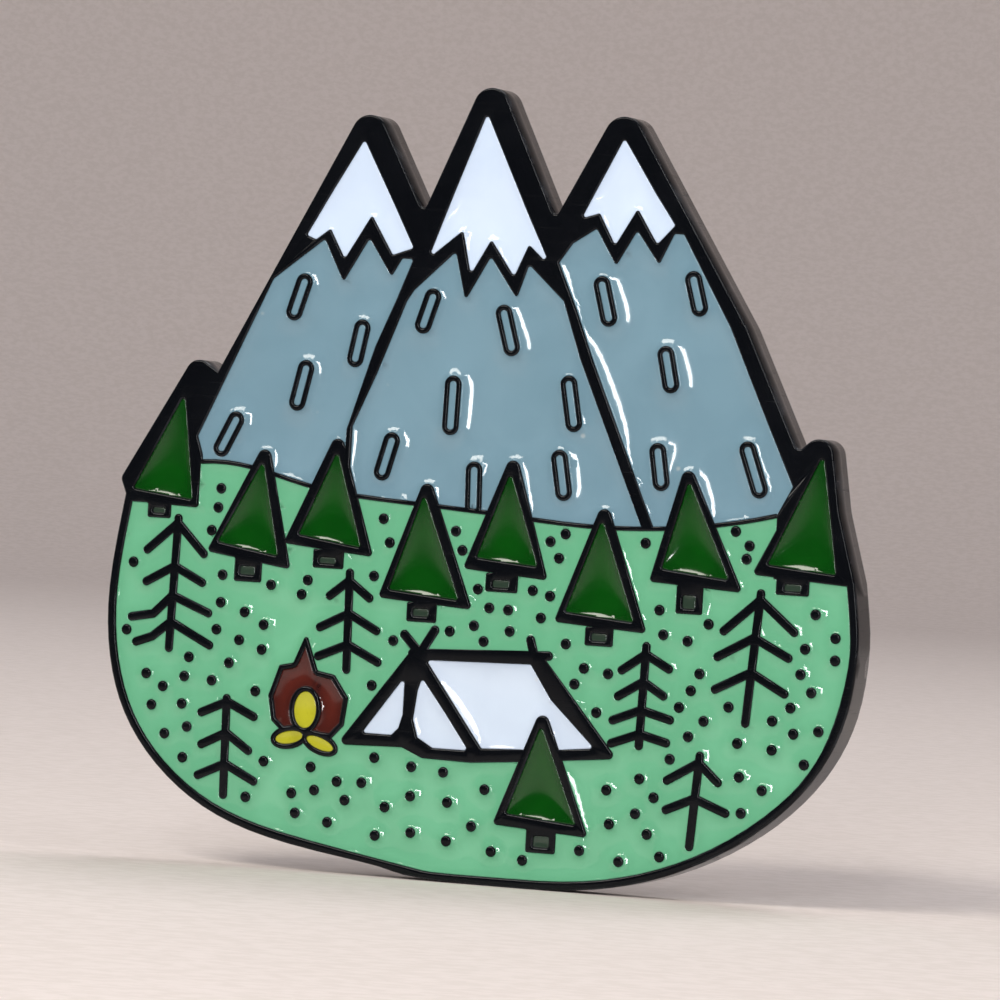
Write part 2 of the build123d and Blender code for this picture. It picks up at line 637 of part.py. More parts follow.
wing_right.part.label = "wing_right"
export_step(wing_right.part, "parts/wing_right.step")

with BuildPart() as wing_left:
    mirror(wing_right.part, about=Plane.YZ)
wing_left.part.label = "wing_left"
export_step(wing_left.part, "parts/wing_left.step")
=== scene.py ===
import json
import math

import bmesh
import bpy
import numpy as np
from mathutils import Matrix, Vector


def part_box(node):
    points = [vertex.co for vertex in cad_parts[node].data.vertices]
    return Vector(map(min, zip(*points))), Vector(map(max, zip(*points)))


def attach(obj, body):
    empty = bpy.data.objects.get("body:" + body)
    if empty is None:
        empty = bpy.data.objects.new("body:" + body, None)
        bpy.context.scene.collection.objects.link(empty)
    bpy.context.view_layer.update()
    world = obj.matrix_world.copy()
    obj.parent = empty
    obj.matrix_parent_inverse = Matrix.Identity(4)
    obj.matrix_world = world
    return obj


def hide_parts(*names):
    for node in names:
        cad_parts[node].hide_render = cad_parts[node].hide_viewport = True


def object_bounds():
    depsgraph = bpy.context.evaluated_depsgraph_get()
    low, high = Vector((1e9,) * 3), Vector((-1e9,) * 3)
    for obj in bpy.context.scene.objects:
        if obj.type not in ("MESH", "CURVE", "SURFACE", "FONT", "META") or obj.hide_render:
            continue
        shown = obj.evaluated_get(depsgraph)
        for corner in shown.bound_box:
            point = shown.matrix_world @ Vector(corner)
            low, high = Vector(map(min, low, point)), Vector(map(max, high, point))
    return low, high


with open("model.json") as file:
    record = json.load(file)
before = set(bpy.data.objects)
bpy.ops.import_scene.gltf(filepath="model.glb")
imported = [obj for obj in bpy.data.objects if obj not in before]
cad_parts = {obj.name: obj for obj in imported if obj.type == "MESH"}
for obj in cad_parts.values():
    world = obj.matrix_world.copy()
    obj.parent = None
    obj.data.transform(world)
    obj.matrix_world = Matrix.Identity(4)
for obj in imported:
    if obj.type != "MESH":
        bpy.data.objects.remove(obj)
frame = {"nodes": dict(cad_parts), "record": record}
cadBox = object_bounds()
nodes = frame["nodes"]
print("frame loaded,", len(nodes), "nodes")


def tint(red, green, blue):
    # a screen colour from 0 to 255, as the linear colour a shader takes
    linear = [c / 255 / 12.92 if c < 11 else ((c / 255 + 0.055) / 1.055) ** 2.4 for c in (red, green, blue)]
    return (*linear, 1.0)


def mergedCopy(node, joinFlat=False):
    # The frame's meshes are loose triangles in metres. Their copy is merged and in millimetres.
    bm = bmesh.new()
    bm.from_mesh(nodes[node].data)
    bm.verts.layers.float.new("shoulder")     # 1 on rounded edges, for wear
    bm.verts.layers.float.new("sink")         # 0 where paint meets metal, 1 where it has settled
    bm.faces.layers.int.new("top")
    bm.edges.layers.int.new("spare")
    bmesh.ops.scale(bm, vec=(1000, 1000, 1000), verts=bm.verts)
    bmesh.ops.remove_doubles(bm, verts=bm.verts, dist=0.0015)
    if joinFlat:
        bmesh.ops.dissolve_limit(bm, angle_limit=math.radians(0.5), verts=bm.verts, edges=bm.edges)
    return bm


def makePiece(bm, name, body, replaced, material, smoothAngle=40):
    bmesh.ops.scale(bm, vec=(0.001, 0.001, 0.001), verts=bm.verts)
    mesh = bpy.data.meshes.new(name)
    bm.to_mesh(mesh)
    bm.free()
    mesh.shade_smooth()
    mesh.set_sharp_from_angle(angle=math.radians(smoothAngle))
    mesh.materials.append(material)
    piece = bpy.data.objects.new(name, mesh)
    bpy.context.scene.collection.objects.link(piece)
    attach(piece, body)
    if replaced:
        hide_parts(*replaced)
    return piece


def flatFaces(bm, level, side):
    # The faces at or past a level of Y that look along -Y (side -1) or +Y (side 1).
    return [f for f in bm.faces
            if f.normal.y * side > 0.99 and (f.calc_center_median().y - level) * side > -0.01]


def roundShoulder(bm, region, steps, fall):
    # Each step is (inset width, how far the ring outside it falls).
    layer = bm.verts.layers.float["shoulder"]
    for index, (width, drop) in enumerate(steps):
        made = bmesh.ops.inset_region(bm, faces=region, thickness=width)["faces"]
        inside = {v for f in region for v in f.verts}
        ring = {v for f in made for v in f.verts} - inside
        bmesh.ops.translate(bm, verts=list(ring), vec=fall * drop)
        for v in ring:
            v[layer] = 1 - index / len(steps)
        for v in inside:
            v[layer] = 0


# Shader node groups and the helpers that build them.

def newGroup(name, inputs, outputs):
    group = bpy.data.node_groups.new(name, "ShaderNodeTree")
    for label, kind, value in inputs:
        socket = group.interface.new_socket(name=label, in_out="INPUT", socket_type=kind)
        socket.default_value = value
    for label, kind in outputs:
        group.interface.new_socket(name=label, in_out="OUTPUT", socket_type=kind)
    return group, group.nodes.new("NodeGroupInput"), group.nodes.new("NodeGroupOutput")


def addNoise(tree, vector, scale, detail=3.0, roughness=0.5, distortion=0.0):
    noise = tree.nodes.new("ShaderNodeTexNoise")
    noise.inputs["Detail"].default_value = detail
    noise.inputs["Roughness"].default_value = roughness
    noise.inputs["Distortion"].default_value = distortion
    tree.links.new(vector, noise.inputs["Vector"])
    if isinstance(scale, (int, float)):
        noise.inputs["Scale"].default_value = scale
    else:
        tree.links.new(scale, noise.inputs["Scale"])
    return noise.outputs["Fac"]


def addMath(tree, operation, *values, clamp=False):
    node = tree.nodes.new("ShaderNodeMath")
    node.operation = operation
    node.use_clamp = clamp
    for socket, value in zip(node.inputs, values):
        if isinstance(value, (int, float)):
            socket.default_value = value
        else:
            tree.links.new(value, socket)
    return node.outputs[0]


def addRange(tree, value, fromMin, fromMax, toMin=0.0, toMax=1.0):
    node = tree.nodes.new("ShaderNodeMapRange")
    node.interpolation_type = "SMOOTHSTEP"
    tree.links.new(value, node.inputs["Value"])
    limits = {"From Min": fromMin, "From Max": fromMax, "To Min": toMin, "To Max": toMax}
    for label, number in limits.items():
        if isinstance(number, (int, float)):
            node.inputs[label].default_value = number
        else:
            tree.links.new(number, node.inputs[label])
    return node.outputs["Result"]


def addMix(tree, fac, first, second, blend="MIX"):
    node = tree.nodes.new("ShaderNodeMix")
    node.data_type = "RGBA"
    node.blend_type = blend
    for index, value in ((0, fac), (6, first), (7, second)):
        if isinstance(value, (int, float, tuple)):
            node.inputs[index].default_value = value
        else:
            tree.links.new(value, node.inputs[index])
    return node.outputs[2]


def addAttribute(tree, name):
    node = tree.nodes.new("ShaderNodeAttribute")
    node.attribute_name = name
    return node.outputs["Fac"]


def addObjectPoint(tree):
    return tree.nodes.new("ShaderNodeTexCoord").outputs["Object"]


paintShape = {
    "speckScale": 900.0, "speckSize": (0.03, 0.1), "speckPatchScale": 420.0, "speckPatch": (0.56, 0.62),
    "dustColor": tint(206, 204, 196), "dustRoughness": 0.4,
    "smudgeScale": 260.0, "smudge": 0.07,
    "swellScale": 420.0, "rippleScale": 2600.0, "ripple": 0.07, "pinhole": -0.5,
}


def makeEnamelGroup():
    # Poured paint: cloudy pigment, painted shade darkening it next to the metal walls, dust and pinholes, a
    # soft swell.
    group, ins, outs = newGroup(
        "pouredPaint",
        [("Color", "NodeSocketColor", (1, 1, 1, 1)), ("Deep Color", "NodeSocketColor", (0, 0, 0, 1)),
         ("Cloud Scale", "NodeSocketFloat", 500.0), ("Cloud Amount", "NodeSocketFloat", 0.4),
         ("Edge Amount", "NodeSocketFloat", 0.5), ("Dust Amount", "NodeSocketFloat", 0.3),
         ("Gloss Roughness", "NodeSocketFloat", 0.08)],
        [("Color", "NodeSocketColor"), ("Roughness", "NodeSocketFloat"), ("Height", "NodeSocketFloat")],
    )
    s = paintShape
    point = addObjectPoint(group)
    sink = addAttribute(group, "sink")
    cloud = addNoise(group, point, ins.outputs["Cloud Scale"], 4.0, 0.55, 0.6)
    cloud = addRange(group, cloud, 0.32, 0.68)
    cloud = addMath(group, "MULTIPLY", cloud, ins.outputs["Cloud Amount"])
    # painted shade: the paint is mixed toward its darker colour next to the metal walls, where the raised
    # lines shade it
    edge = addRange(group, sink, 0.02, 0.5, 1.0, 0.0)
    edge = addMath(group, "MULTIPLY", edge, ins.outputs["Edge Amount"])
    # deep holds the cloud and the painted wall shade together
    deep = addMath(group, "MAXIMUM", cloud, edge, clamp=True)
    color = addMix(group, deep, ins.outputs["Color"], ins.outputs["Deep Color"])
    specks = group.nodes.new("ShaderNodeTexVoronoi")
    specks.inputs["Scale"].default_value = s["speckScale"]
    group.links.new(point, specks.inputs["Vector"])
    speck = addRange(group, specks.outputs["Distance"], *s["speckSize"], 1.0, 0.0)
    rare = addRange(group, addNoise(group, point, s["speckPatchScale"], 1.0), *s["speckPatch"])
    speck = addMath(group, "MULTIPLY", speck, rare)
    dust = addMath(group, "MULTIPLY", speck, ins.outputs["Dust Amount"])
    color = addMix(group, dust, color, s["dustColor"])
    group.links.new(color, outs.inputs["Color"])
    smudge = addNoise(group, point, s["smudgeScale"], 5.0, 0.6, 1.2)
    smudge = addRange(group, smudge, 0.4, 0.75, 0.0, s["smudge"])
    rough = addMath(group, "ADD", smudge, ins.outputs["Gloss Roughness"])
    rough = addMath(group, "ADD", rough, addMath(group, "MULTIPLY", dust, s["dustRoughness"]))
    group.links.new(rough, outs.inputs["Roughness"])
    swell = addNoise(group, point, s["swellScale"], 1.5, 0.4)
    ripple = addMath(group, "MULTIPLY", addNoise(group, point, s["rippleScale"], 2.0), s["ripple"])
    pin = addMath(group, "MULTIPLY", speck, s["pinhole"])
    height = addMath(group, "ADD", addMath(group, "ADD", swell, ripple), pin)
    group.links.new(height, outs.inputs["Height"])
    return group


wornShape = {
    "wearScale": 900.0, "stainScale": 330.0, "stainRoughness": 0.22,
    # each set of hair scratches is a turn and a stretch
    "scratches": [(0.5, (300.0, 300.0, 9000.0)), (-0.9, (240.0, 240.0, 7000.0))],
    "scratchRoughness": 0.25, "scratchDepth": 0.3,
}


def makeMetalGroup():
    # Plated or sheet metal: uneven tone, wear on rounded shoulders, fine scratches, a little dust.
    group, ins, outs = newGroup(
        "workedMetal",
        [("Color", "NodeSocketColor", (1, 1, 1, 1)), ("Worn Color", "NodeSocketColor", (1, 1, 1, 1)),
         ("Stain Color", "NodeSocketColor", (0, 0, 0, 1)), ("Wear Amount", "NodeSocketFloat", 0.3),
         ("Stain Amount", "NodeSocketFloat", 0.3), ("Scratch Amount", "NodeSocketFloat", 0.3),
         ("Pebble Scale", "NodeSocketFloat", 3000.0), ("Pebble Amount", "NodeSocketFloat", 0.2),
         ("Base Roughness", "NodeSocketFloat", 0.2)],
        [("Color", "NodeSocketColor"), ("Roughness", "NodeSocketFloat"), ("Height", "NodeSocketFloat")],
    )
    s = wornShape
    point = addObjectPoint(group)
    shoulder = addAttribute(group, "shoulder")
    patch = addRange(group, addNoise(group, point, s["wearScale"], 4.0, 0.65), 0.45, 0.62)
    wear = addMath(group, "MULTIPLY", shoulder, patch)
    wear = addMath(group, "MULTIPLY", wear, ins.outputs["Wear Amount"], clamp=True)
    stain = addRange(group, addNoise(group, point, s["stainScale"], 5.0, 0.6, 0.8), 0.42, 0.7)
    stain = addMath(group, "MULTIPLY", stain, ins.outputs["Stain Amount"], clamp=True)
    color = addMix(group, stain, ins.outputs["Color"], ins.outputs["Stain Color"])
    color = addMix(group, wear, color, ins.outputs["Worn Color"])
    group.links.new(color, outs.inputs["Color"])
    marks = None
    for turn, stretch in s["scratches"]:
        mapping = group.nodes.new("ShaderNodeMapping")
        mapping.inputs["Rotation"].default_value = (0.2, turn, 0.1)
        mapping.inputs["Scale"].default_value = stretch
        group.links.new(point, mapping.inputs["Vector"])
        hair = addRange(group, addNoise(group, mapping.outputs["Vector"], 1.0, 2.0), 0.63, 0.72)
        marks = hair if marks is None else addMath(group, "MAXIMUM", marks, hair)
    marks = addMath(group, "MULTIPLY", marks, ins.outputs["Scratch Amount"])
    marked = addMath(group, "MULTIPLY", marks, s["scratchRoughness"])
    rough = addMath(group, "ADD", ins.outputs["Base Roughness"], marked)
    rough = addMath(group, "ADD", rough, addMath(group, "MULTIPLY", stain, s["stainRoughness"]))
    group.links.new(rough, outs.inputs["Roughness"])
    pebble = addNoise(group, point, ins.outputs["Pebble Scale"], 2.0, 0.5)
    pebble = addMath(group, "MULTIPLY", pebble, ins.outputs["Pebble Amount"])
    height = addMath(group, "SUBTRACT", pebble, addMath(group, "MULTIPLY", marks, s["scratchDepth"]))
    group.links.new(height, outs.inputs["Height"])
    return group


paintGroup = makeEnamelGroup()
metalGroup = makeMetalGroup()


def shadeWith(name, group, values, bumpDistance, **fixed):
    # One material: the group's values, then fixed numbers on the shader's own sockets.
    material = bpy.data.materials.new(name)
    material.use_nodes = True
    tree = material.node_tree
    shader = tree.nodes["Principled BSDF"]
    holder = tree.nodes.new("ShaderNodeGroup")
    holder.node_tree = group
    for label, value in values.items():
        holder.inputs[label].default_value = value
    tree.links.new(holder.outputs["Color"], shader.inputs["Base Color"])
    tree.links.new(holder.outputs["Roughness"], shader.inputs["Roughness"])
    bump = tree.nodes.new("ShaderNodeBump")
    bump.inputs["Distance"].default_value = bumpDistance
    bump.inputs["Strength"].default_value = 1.0
    tree.links.new(holder.outputs["Height"], bump.inputs["Height"])
    tree.links.new(bump.outputs["Normal"], shader.inputs["Normal"])
    for label, value in fixed.items():
        shader.inputs[label].default_value = value
    return material


def enamel(name, color, deep, cloudScale=500.0, cloudAmount=0.35, wallShadeAmount=0.5, dust=0.3, gloss=0.07):
    return shadeWith(name, paintGroup, {
        "Color": color, "Deep Color": deep, "Cloud Scale": cloudScale, "Cloud Amount": cloudAmount,
        "Edge Amount": wallShadeAmount, "Dust Amount": dust, "Gloss Roughness": gloss,
    }, 0.00001, **{"Coat Weight": 0.25, "Coat Roughness": 0.04, "IOR": 1.48})


def metal(name, color, worn, stain, metallic, wear=0.3, stains=0.3, scratches=0.3, pebbleScale=3000.0,
          pebbles=0.2, roughness=0.2, bumpDistance=0.000006, **fixed):
    return shadeWith(name, metalGroup, {
        "Color": color, "Worn Color": worn, "Stain Color": stain, "Wear Amount": wear,
        "Stain Amount": stains, "Scratch Amount": scratches, "Pebble Scale": pebbleScale,
        "Pebble Amount": pebbles, "Base Roughness": roughness,
    }, bumpDistance, Metallic=metallic, **fixed)


# each paint's second colour serves both as its cloud tone and as its painted shade next to the metal walls
paints = {
    "snow_enamel": enamel("snowPaint", tint(204, 221, 243), tint(182, 202, 226), 350, 0.3, 0.35, 0.25),
    "rock_enamel": enamel("rockPaint", tint(115, 147, 163), tint(95, 127, 143), 330, 0.3, 0.5, 0.3),
    "meadow_enamel": enamel("meadowPaint", tint(110, 180, 143), tint(84, 155, 117), 240, 0.4, 0.55, 0.3),
    "fir_enamel": enamel("firPaint", tint(8, 70, 12), tint(4, 44, 8), 420, 0.35, 0.5, 0.15),
    "trunk_enamel": enamel("trunkPaint", tint(52, 70, 58), tint(30, 42, 34), 900, 0.5, 0.5, 0.2),
    "tent_enamel": enamel("tentPaint", tint(202, 217, 235), tint(176, 190, 212), 300, 0.3, 0.35, 0.25),
    "flame_enamel": enamel("flamePaint", tint(104, 42, 32), tint(40, 18, 18), 1500, 0.9, 0.7, 0.2),
    "ember_enamel": enamel("emberPaint", tint(198, 196, 52), tint(140, 138, 30), 1300, 0.7, 0.5, 0.2),
}
blackPlating = metal(
    "blackPlating", tint(9, 11, 15), tint(70, 74, 80), tint(20, 22, 26), 0.0, wear=0.35, stains=0.25,
    scratches=0.5, pebbleScale=2200.0, pebbles=0.25, roughness=0.12, bumpDistance=0.000007,
    **{"Coat Weight": 0.1, "Coat Roughness": 0.05, "IOR": 1.25})
blackStruck = metal(
    "blackStruck", tint(12, 14, 18), tint(74, 78, 84), tint(28, 30, 34), 0.0, wear=0.5, stains=0.4,
    scratches=0.6, pebbleScale=2600.0, pebbles=1.6, roughness=0.3, bumpDistance=0.00003,
    **{"Coat Weight": 0.1, "Coat Roughness": 0.2, "IOR": 1.45})
steel = metal(
    "postSteel", tint(196, 197, 199), tint(226, 226, 224), tint(120, 118, 114), 1.0, wear=0.4,
    stains=0.35, scratches=0.5, pebbles=0.15, roughness=0.22)
tinSolder = metal(
    "tinSolder", tint(172, 172, 170), tint(205, 205, 200), tint(96, 94, 90), 1.0, wear=0.3,
    stains=0.6, scratches=0.15, pebbleScale=1700.0, pebbles=1.2, roughness=0.33, bumpDistance=0.00002)
brass = metal(
    "clutchBrass", tint(214, 172, 92), tint(240, 208, 138), tint(140, 98, 44), 1.0, wear=0.5,
    stains=0.35, scratches=0.55, pebbleScale=2600.0, pebbles=0.3, roughness=0.2)
springBrass = metal(
    "springBrass", tint(205, 166, 92), tint(238, 206, 140), tint(128, 90, 42), 1.0, wear=0.6,
    stains=0.4, scratches=0.8, pebbleScale=3400.0, pebbles=0.25, roughness=0.24)
print("materials made")


# The badge is one struck plate with rounded lines. Each shoulder step is (inset width, drop).
plateShape = {
    "front": -1.4, "back": 0.0,
    "lineShoulder": [(0.02, 0.045), (0.024, 0.017), (0.014, 0.003)],
    "backShoulder": [(0.04, 0.05), (0.04, 0.015), (0.02, 0.002)],
}


def buildPlate():
    s = plateShape
    bm = mergedCopy("badge_plate")
    front = flatFaces(bm, s["front"], -1)
    roundShoulder(bm, front, s["lineShoulder"], Vector((0, 1, 0)))
    back = flatFaces(bm, s["back"], 1)
    roundShoulder(bm, back, s["backShoulder"], Vector((0, -1, 0)))
    for f in back:
        f.material_index = 1
    piece = makePiece(bm, "badgeMetal", "badge", ["badge_plate"], blackPlating, 50)
    piece.data.materials.append(blackStruck)
    print("plate done,", len(piece.data.polygons), "faces")


# Every enamel cell is poured: it clings to the metal and sinks in the middle.
pourShape = {
    "top": -1.28,          # level of the cell's own top
    "rim": -1.343,         # where the paint clings to the metal
    "rest": -1.09,         # where it settles in a wide cell
    "reach": 0.46,         # how far from the metal it still climbs
    "skirt": 0.045,        # first ring inside the metal
    "rounds": 400,
    "spacing": {"meadow": 0.24, "rock": 0.22, "snow": 0.18, "tent": 0.16},
    "fineSpacing": 0.1,    # for the small cells
}


def settleSurface(bm, top):
    # Surface tension against weight: each point is its neighbours' mean, drawn to the rest level.
    verts = list({v for f in top for v in f.verts})
    index = {v: i for i, v in enumerate(verts)}
    topSet = set(top)
    fixed = np.array([any(f not in topSet for f in v.link_faces) for v in verts])
    flat = np.array([(v.co.x, v.co.z) for v in verts])
    tri = np.array([[index[v] for v in f.verts] for f in top])
    count = len(verts)
    weights = []
    area = np.zeros(count)
    for a, b, c in ((0, 1, 2), (1, 2, 0), (2, 0, 1)):
        u = flat[tri[:, a]] - flat[tri[:, c]]
        v = flat[tri[:, b]] - flat[tri[:, c]]
        cross = np.abs(u[:, 0] * v[:, 1] - u[:, 1] * v[:, 0]) + 1e-9
        weights.append((tri[:, a], tri[:, b], np.clip((u * v).sum(1) / cross, 0.02, 20) / 2))
        area += np.bincount(tri[:, c], cross / 6, count)
    start = np.concatenate([w[0] for w in weights] + [w[1] for w in weights])
    end = np.concatenate([w[1] for w in weights] + [w[0] for w in weights])
    pull = np.concatenate([w[2] for w in weights] * 2)
    hold = area / pourShape["reach"] ** 2
    total = np.bincount(start, pull, count) + hold
    height = np.full(count, pourShape["rest"])
    height[fixed] = pourShape["rim"]
    for _ in range(pourShape["rounds"]):
        drawn = (np.bincount(start, pull * height[end], count) + hold * pourShape["rest"]) / total
        height = np.where(fixed, pourShape["rim"], drawn)
    layer = bm.verts.layers.float["sink"]
    span = pourShape["rest"] - pourShape["rim"]
    for v, y in zip(verts, height):
        v.co.y = y
        v[layer] = (y - pourShape["rim"]) / span


def pourCell(node, slotName, spacing):
    bm = mergedCopy(node)
    top = flatFaces(bm, pourShape["top"], -1)
    ring = bmesh.ops.inset_region(bm, faces=top, thickness=pourShape["skirt"])["faces"]
    mark = bm.faces.layers.int["top"]
    for f in top + ring:
        f[mark] = 1
    # the long triangles only carry the cuts: their own edges go again afterwards
    spare = bm.edges.layers.int["spare"]
    inner = set(top)
    for e in {e for f in top for e in f.edges}:
        e[spare] = int(all(f in inner for f in e.link_faces))
    low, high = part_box(node)
    faces = [f for f in bm.faces if f[mark]]
    geom = faces + list({e for f in faces for e in f.edges}) + list({v for f in faces for v in f.verts})
    for axis in (0, 2):
        first, last = low[axis] * 1000, high[axis] * 1000
        steps = max(2, round((last - first) / spacing))
        normal = Vector([float(i == axis) for i in range(3)])
        for k in range(1, steps):
            place = normal * (first + (last - first) * k / steps)
            cut = bmesh.ops.bisect_plane(bm, geom=geom, dist=0.0005, plane_co=place, plane_no=normal)
            geom = cut["geom"]
    bmesh.ops.dissolve_edges(bm, edges=[e for e in bm.edges if e[spare]], use_verts=True)
    bmesh.ops.triangulate(bm, faces=[f for f in bm.faces if f[mark]])
    top = [f for f in bm.faces if f[mark]]
    settleSurface(bm, top)
    name = "".join(w if i == 0 else w.capitalize() for i, w in enumerate(node.split("_"))) + "Pour"
    piece = makePiece(bm, name, "badge", [node], paints[slotName], 60)
    return len(piece.data.polygons)


def buildEnamel():
    slots = {s["node"]: s["material_slot"] for s in frame["record"]["subparts"]}
    faces = 0
    for node, slotName in sorted(slots.items()):
        if slotName in paints:
            spacing = pourShape["spacing"].get(node.split("_")[0], pourShape["fineSpacing"])
            faces += pourCell(node, slotName, spacing)
    print("enamel done,", faces, "faces")


def turnProfile(points, rounding, steps=96):
    # Spins a profile of (radius, y) points about the post's axis; rounding is one bevel for each corner.
    bm = bmesh.new()
    verts = [bmesh.ops.create_vert(bm, co=(r, y, 0))["vert"][0] for r, y in points]
    closed = points[0][0] > 0 or points[-1][0] > 0
    pairs = list(zip(verts, verts[1:])) + ([(verts[-1], verts[0])] if closed else [])
    for a, b in pairs:
        bm.edges.new((a, b))
    for v, radius in zip(verts, rounding):
        if radius:
            bmesh.ops.bevel(bm, geom=[v], offset=radius, affect="VERTICES", segments=5, profile=0.5,
                            material=-1)
    bmesh.ops.spin(bm, geom=bm.verts[:] + bm.edges[:], cent=(0, 0, 0), axis=(0, 1, 0), angle=math.tau,
                   steps=steps, use_merge=True)
    bmesh.ops.remove_doubles(bm, verts=bm.verts, dist=0.0004)
    bmesh.ops.recalc_face_normals(bm, faces=bm.faces)
    return bm


postShape = {
    "radius": 0.58, "padRadius": 2.3, "padTop": 0.35, "end": 8.4, "cone": 1.0, "tipRadius": 0.15,
    "dish": (1.5, 1.3, 0.9), "dishDepth": 0.06, "neck": 0.25,      # the pad is dished round the post
    "grooves": (2.95, 4.625, 6.3), "grooveDepth": 0.17, "grooveHalf": 0.27, "grooveRounding": 0.05,
    "grooveSlope": 0.05,
    # the solder's profile: radius past the pad's edge, height, rounding
    "solder": [(-0.15, 0, 0), (0.45, 0, 0), (0.42, 0.02, 0.03), (0.16, 0.08, 0.1), (0.04, 0.27, 0.06),
               (-0.12, 0.32, 0.05)],
    # its lumps: share, waves round the ring, start
    "lumps": [(0.5, 3, 0.6), (0.3, 7, 2.1), (0.2, 13, 0.0)],
    "lumpOut": 0.055, "lumpUp": 0.03, "lumpFade": 0.3,
}


def buildPost():
    s = postShape
    r, deep = s["radius"], s["radius"] - s["grooveDepth"]
    base = plateShape["back"]
    padTop, (dishOuter, dishSlope, dishInner) = s["padTop"], s["dish"]
    dish = padTop - s["dishDepth"]
    points = [(0, base), (s["padRadius"], base), (s["padRadius"], padTop), (dishOuter, padTop),
              (dishSlope, dish), (dishInner, dish), (r, padTop + s["neck"])]
    rounding = [0, 0, 0.12, 0.04, 0.06, 0.12, 0.1]
    half, slope, soft = s["grooveHalf"], s["grooveSlope"], s["grooveRounding"]
    for y in s["grooves"]:
        points += [(r, y - half), (deep, y - half + slope), (deep, y + half - slope), (r, y + half)]
        rounding += [soft, soft / 1.4, soft / 1.4, soft]
    points += [(r, s["end"] - s["cone"]), (s["tipRadius"], s["end"] - 0.03), (0, s["end"])]
    rounding += [0.2, 0.08, 0]
    makePiece(turnProfile(points, rounding), "postPin", "badge", ["post"], steel, 45)
    # solder climbs the pad's edge in a hollow, slightly lumpy ring
    edge = s["padRadius"]
    bm = turnProfile([(edge + past, base + y) for past, y, _ in s["solder"]], [c for _, _, c in s["solder"]])
    for v in bm.verts:
        turn = math.atan2(v.co.z, v.co.x)
        lump = sum(share * math.sin(waves * turn + start) for share, waves, start in s["lumps"])
        share = min(1, max(0, (math.hypot(v.co.x, v.co.z) - edge) / s["lumpFade"]))
        up = s["lumpUp"] * lump if v.co.y > 0.03 else 0      # the foot stays on the plate
        out = Vector((v.co.x, 0, v.co.z)).normalized()
        v.co += out * (s["lumpOut"] * lump * share) + Vector((0, up, 0))
    makePiece(bm, "solderFillet", "badge", ["solder_ring"], tinSolder, 60)
    print("post done")


# The clutch is a rolled base, a cap with a window, and the seat of the spring.
clutchShape = {
    "front": 3.2, "back": 4.75, "radius": 5.7, "sheet": 0.35, "hole": 0.88, "lip": 0.805,
    "collar": (0.32, 0.5), "collarDrop": 0.06,     # dimple round the hole
    "bead": (3.3, 3.5, 3.9, 4.1), "beadHeight": 0.12, "beadBack": (4.2, 4.0, 3.4, 3.2), "beadBackHeight": 0.1,
    "baseRounding": [0.08, 0.1, 0.1, 0.12, 0.1, 0.1, 0.12, 0.55, 0.33, 0.1, 0.06, 0.02, 0.25, 0.1,
                     0.08, 0.08, 0.1, 0.08],
    "capRadius": 5.3, "capFront": 4.05, "capStep": 0.4, "capFlange": 1.0,
    "capRounding": [0.06, 0.2, 0.2, 0.04, 0.06, 0.2, 0.25, 0.06],
    "window": (2.75, 2.4), "windowRounding": 0.6, "windowInner": 2.6, "windowEdge": 0.3,
    "seatBreak": 0.045,
}


def windowReach(x, z):
    # How far a ray from the middle, with direction (x, z), goes before it meets the rounded window.
    wide, tall = clutchShape["window"]
    radius = clutchShape["windowRounding"]
    x, z = abs(x) + 1e-9, abs(z) + 1e-9
    reach = min(wide / x, tall / z)
    cornerX, cornerZ = wide - radius, tall - radius
    if reach * x > cornerX and reach * z > cornerZ:
        along = x * cornerX + z * cornerZ
        reach = along + math.sqrt(max(0, along ** 2 - cornerX ** 2 - cornerZ ** 2 + radius ** 2))
    return reach


def buildClutch():
    s = clutchShape
    f, b, r, t = s["front"], s["back"], s["radius"], s["sheet"]
    # the base's disc has a collar at its hole and a stamped bead
    hole, drop, lip = s["hole"], s["collarDrop"], r - s["lip"]
    collarFlat, collarEnd = hole + s["collar"][0], hole + s["collar"][1]
    points = [(hole, f + drop), (collarFlat, f + drop), (collarEnd, f)]
    points += [(x, f + rise) for x, rise in zip(s["bead"], (0, s["beadHeight"], s["beadHeight"], 0))]
    points += [(r, f), (r, b), (lip, b), (lip, b - t), (r - t, b - t), (r - t, f + t)]
    back = s["beadBackHeight"]
    points += [(x, f + t + rise) for x, rise in zip(s["beadBack"], (0, back, back, 0))]
    points.append((hole, f + t))
    bm = turnProfile(points, s["baseRounding"], 128)
    makePiece(bm, "clutchBase", "clutch", ["clutch_base"], brass, 50)
    # the cap: a raised middle, its inner edge drawn out to a rounded window
    y, k, inner = s["capFront"], s["capStep"], s["windowInner"]
    slope = s["capRadius"] - s["capFlange"]
    points = [(inner, y + k), (slope - k, y + k), (slope, y), (s["capRadius"], y),
              (s["capRadius"], y + t), (slope, y + t), (slope - k, y + k + t), (inner, y + k + t)]
    bm = turnProfile(points, s["capRounding"], 256)
    for v in bm.verts:
        out = Vector((v.co.x, 0, v.co.z))
        if out.length < inner + s["windowEdge"]:
            out.normalize()
            v.co += out * (windowReach(out.x, out.z) - inner)
    bmesh.ops.recalc_face_normals(bm, faces=bm.faces)
    makePiece(bm, "clutchCap", "clutch", ["clutch_cap"], brass, 50)
    # the seat: the frame's own strip with its edges broken
    bm = mergedCopy("spring_seat", joinFlat=True)
    sharp = [e for e in bm.edges if len(e.link_faces) == 2 and e.calc_face_angle() > 0.7]
    bmesh.ops.bevel(bm, geom=sharp, offset=s["seatBreak"], affect="EDGES", segments=2, profile=0.5,
                    material=-1)
    makePiece(bm, "springSeat", "clutch", ["spring_seat"], springBrass, 40)
    print("clutch done")


